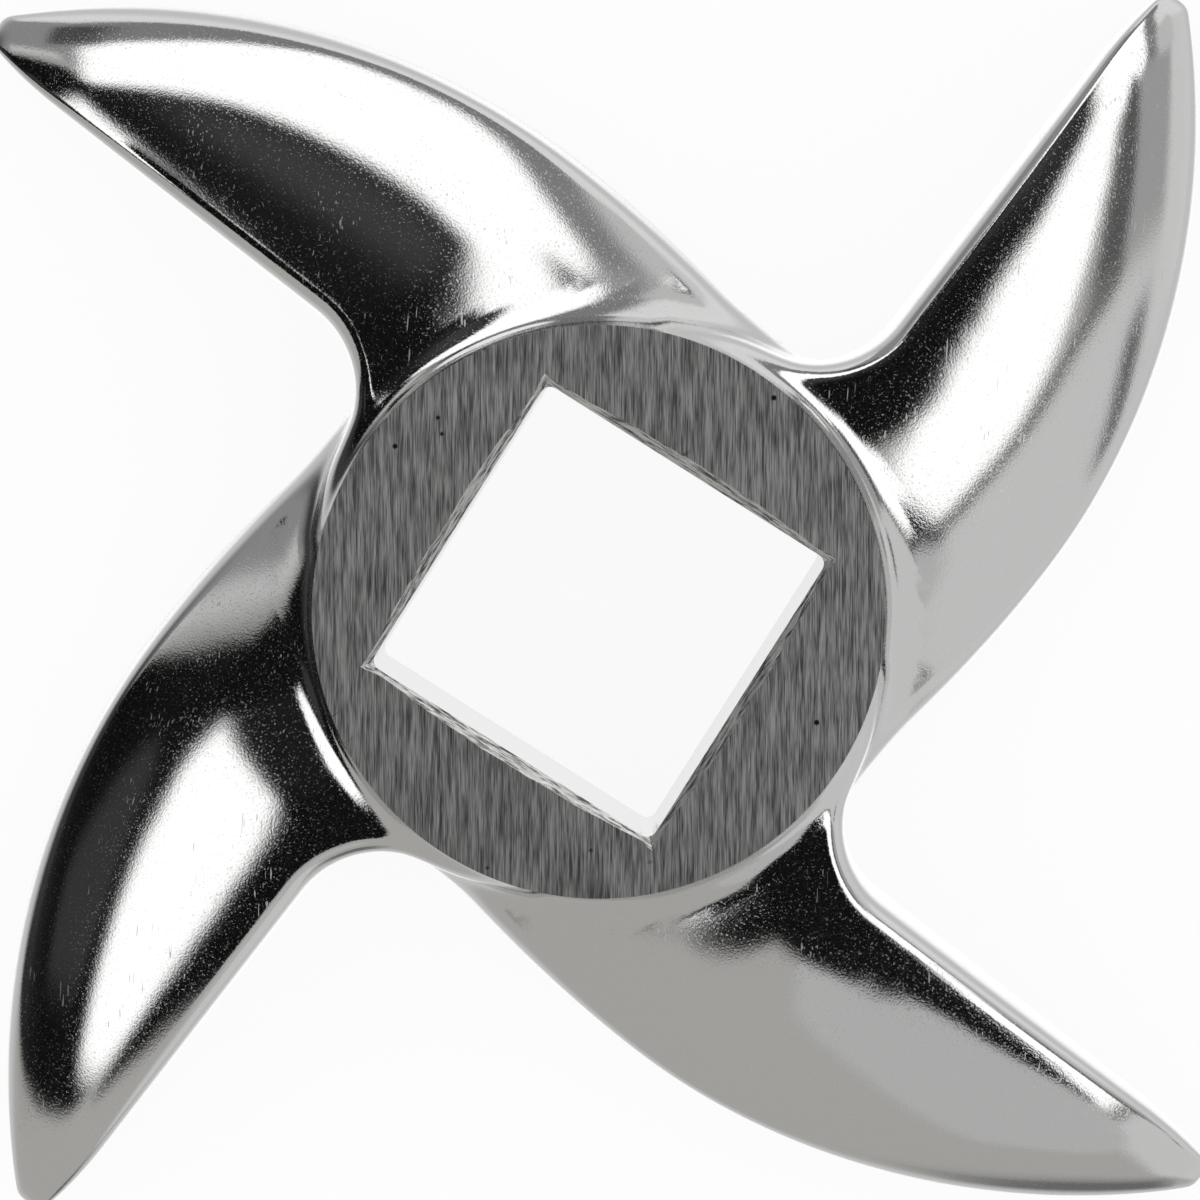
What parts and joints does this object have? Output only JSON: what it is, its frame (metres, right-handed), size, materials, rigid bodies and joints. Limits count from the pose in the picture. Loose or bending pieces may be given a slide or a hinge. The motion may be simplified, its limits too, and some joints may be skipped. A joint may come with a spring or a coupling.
{
  "type": "meat grinder knife",
  "caption": "Cast stainless grinder knife: polished domed arms swept round a ground hub with a square drive bore, flat cutting lands on the plate side.",
  "frame": {"origin": "centre of the square bore on the ground plate side", "axes": "+Z along the bore towards the worm side, X and Y square to the bore's flats"},
  "size_m": [0.0672, 0.0672, 0.012],
  "materials": {
    "polished_stainless": "mirror-polished casting, hub and plate faces ground"
  },
  "bodies": {
    "root": {"knife": "polished_stainless"}
  },
  "joints": []
}
